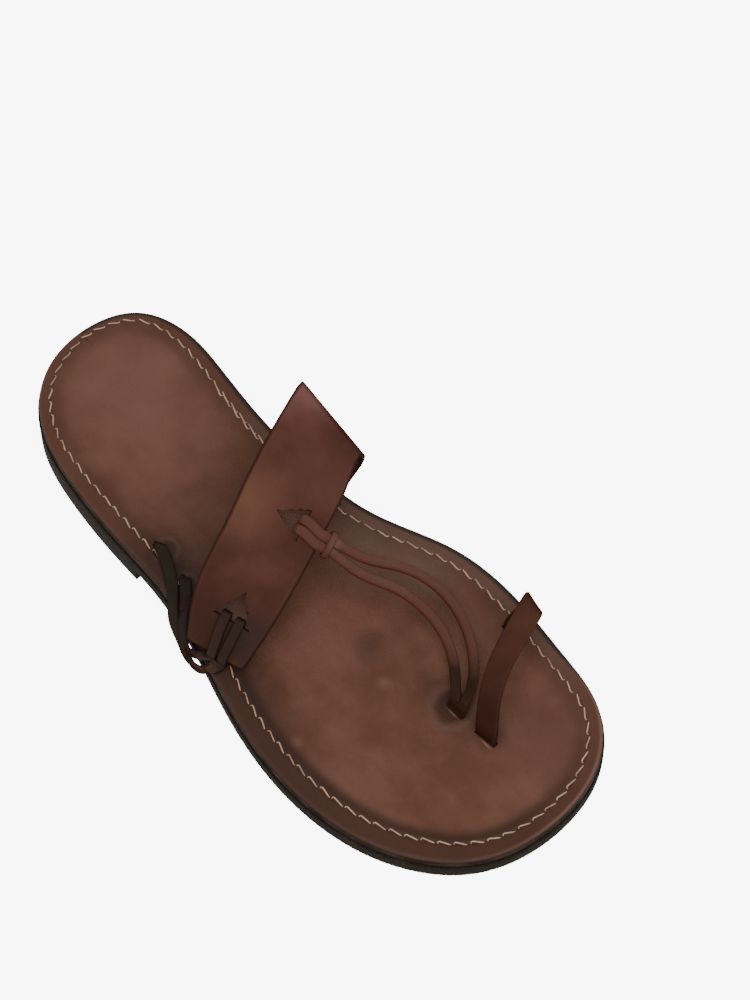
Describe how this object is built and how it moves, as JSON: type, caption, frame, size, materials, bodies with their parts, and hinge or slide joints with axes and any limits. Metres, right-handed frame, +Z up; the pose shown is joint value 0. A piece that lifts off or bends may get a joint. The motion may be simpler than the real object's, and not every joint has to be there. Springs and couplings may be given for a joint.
{
  "type": "toe loop sandal",
  "caption": "Right leather sandal: slanting instep strap let into the sole inside and laced outside, slit lace to the toe gap, big-toe loop, stitched insole and low rubber sole.",
  "frame": {"origin": "on the floor under the middle of the sandal's box", "axes": "+Y from heel to toe, +X to the wearer's right (lateral side), +Z up"},
  "size_m": [0.1138, 0.2706, 0.0628],
  "materials": {
    "heel_rubber": "black rubber with a slight green cast, matt, worn at the edge",
    "sole_rubber": "black rubber, matt, finely ribbed tread",
    "insole_leather": "smooth brown leather, burnished at the rim, seamed with pale thread",
    "strap_leather": "smooth dark red-brown leather, satin",
    "lace_leather": "dark brown leather lace, cut edges darker"
  },
  "bodies": {
    "root": {"heel_lift": "heel_rubber", "outsole": "sole_rubber", "insole": "insole_leather", "upper_instep_strap": "strap_leather", "upper_front_thong": "lace_leather", "upper_side_thong": "lace_leather", "upper_toe_loop": "strap_leather"}
  },
  "joints": []
}
